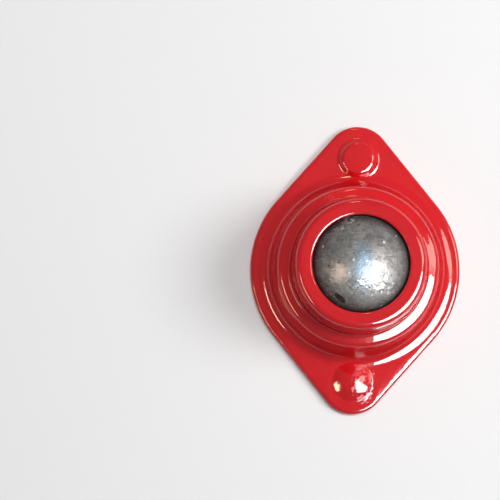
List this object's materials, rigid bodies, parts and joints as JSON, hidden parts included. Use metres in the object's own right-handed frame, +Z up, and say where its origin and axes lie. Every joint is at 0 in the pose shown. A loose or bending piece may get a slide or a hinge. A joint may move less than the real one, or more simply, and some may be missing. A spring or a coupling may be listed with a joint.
{
  "type": "ball transfer unit",
  "caption": "Pressed steel flange-mount ball transfer unit, painted red, with a free-turning steel load ball for moving goods in any direction.",
  "frame": {"origin": "centre of the flange's underside, midway between the two fixing studs, on the load ball's vertical axis", "axes": "+Z up out of the ball opening, +Y along the flange's length through both fixings, +X across its width"},
  "size_m": [0.0508, 0.0698, 0.0371],
  "materials": {
    "red_paint": "gloss",
    "worn_steel": "worn, dull polish",
    "hardened_steel": "ground"
  },
  "bodies": {
    "housing": {"flange_housing": "red_paint", "top_cap": "red_paint", "bearing_cup": "hardened_steel", "front_rivet": "red_paint", "rear_rivet": "red_paint"},
    "support_balls": {"support_ball_1_1": "hardened_steel", "support_ball_2_1": "hardened_steel", "support_ball_2_2": "hardened_steel", "support_ball_2_3": "hardened_steel", "support_ball_2_4": "hardened_steel", "support_ball_2_5": "hardened_steel", "support_ball_2_6": "hardened_steel", "support_ball_3_1": "hardened_steel", "support_ball_3_2": "hardened_steel", "support_ball_3_3": "hardened_steel", "support_ball_3_4": "hardened_steel", "support_ball_3_5": "hardened_steel", "support_ball_3_6": "hardened_steel", "support_ball_3_7": "hardened_steel", "support_ball_3_8": "hardened_steel", "support_ball_3_9": "hardened_steel", "support_ball_3_10": "hardened_steel", "support_ball_3_11": "hardened_steel", "support_ball_3_12": "hardened_steel", "support_ball_4_1": "hardened_steel", "support_ball_4_2": "hardened_steel", "support_ball_4_3": "hardened_steel", "support_ball_4_4": "hardened_steel", "support_ball_4_5": "hardened_steel", "support_ball_4_6": "hardened_steel", "support_ball_4_7": "hardened_steel", "support_ball_4_8": "hardened_steel", "support_ball_4_9": "hardened_steel", "support_ball_4_10": "hardened_steel", "support_ball_4_11": "hardened_steel", "support_ball_4_12": "hardened_steel", "support_ball_4_13": "hardened_steel", "support_ball_4_14": "hardened_steel", "support_ball_4_15": "hardened_steel", "support_ball_4_16": "hardened_steel", "support_ball_4_17": "hardened_steel", "support_balls_row_5": "hardened_steel", "support_balls_row_6": "hardened_steel"},
    "load_ball": {"main_ball": "worn_steel"}
  },
  "joints": [
    {"name": "ball_swivel", "type": "hinge", "parent": "housing", "child": "support_balls", "pos_m": [0, 0, 0.01743], "axis": [0, 0, 1], "continuous": true},
    {"name": "ball_roll", "type": "hinge", "parent": "support_balls", "child": "load_ball", "pos_m": [0, 0, 0.01743], "axis": [1, 0, 0], "continuous": true}
  ]
}
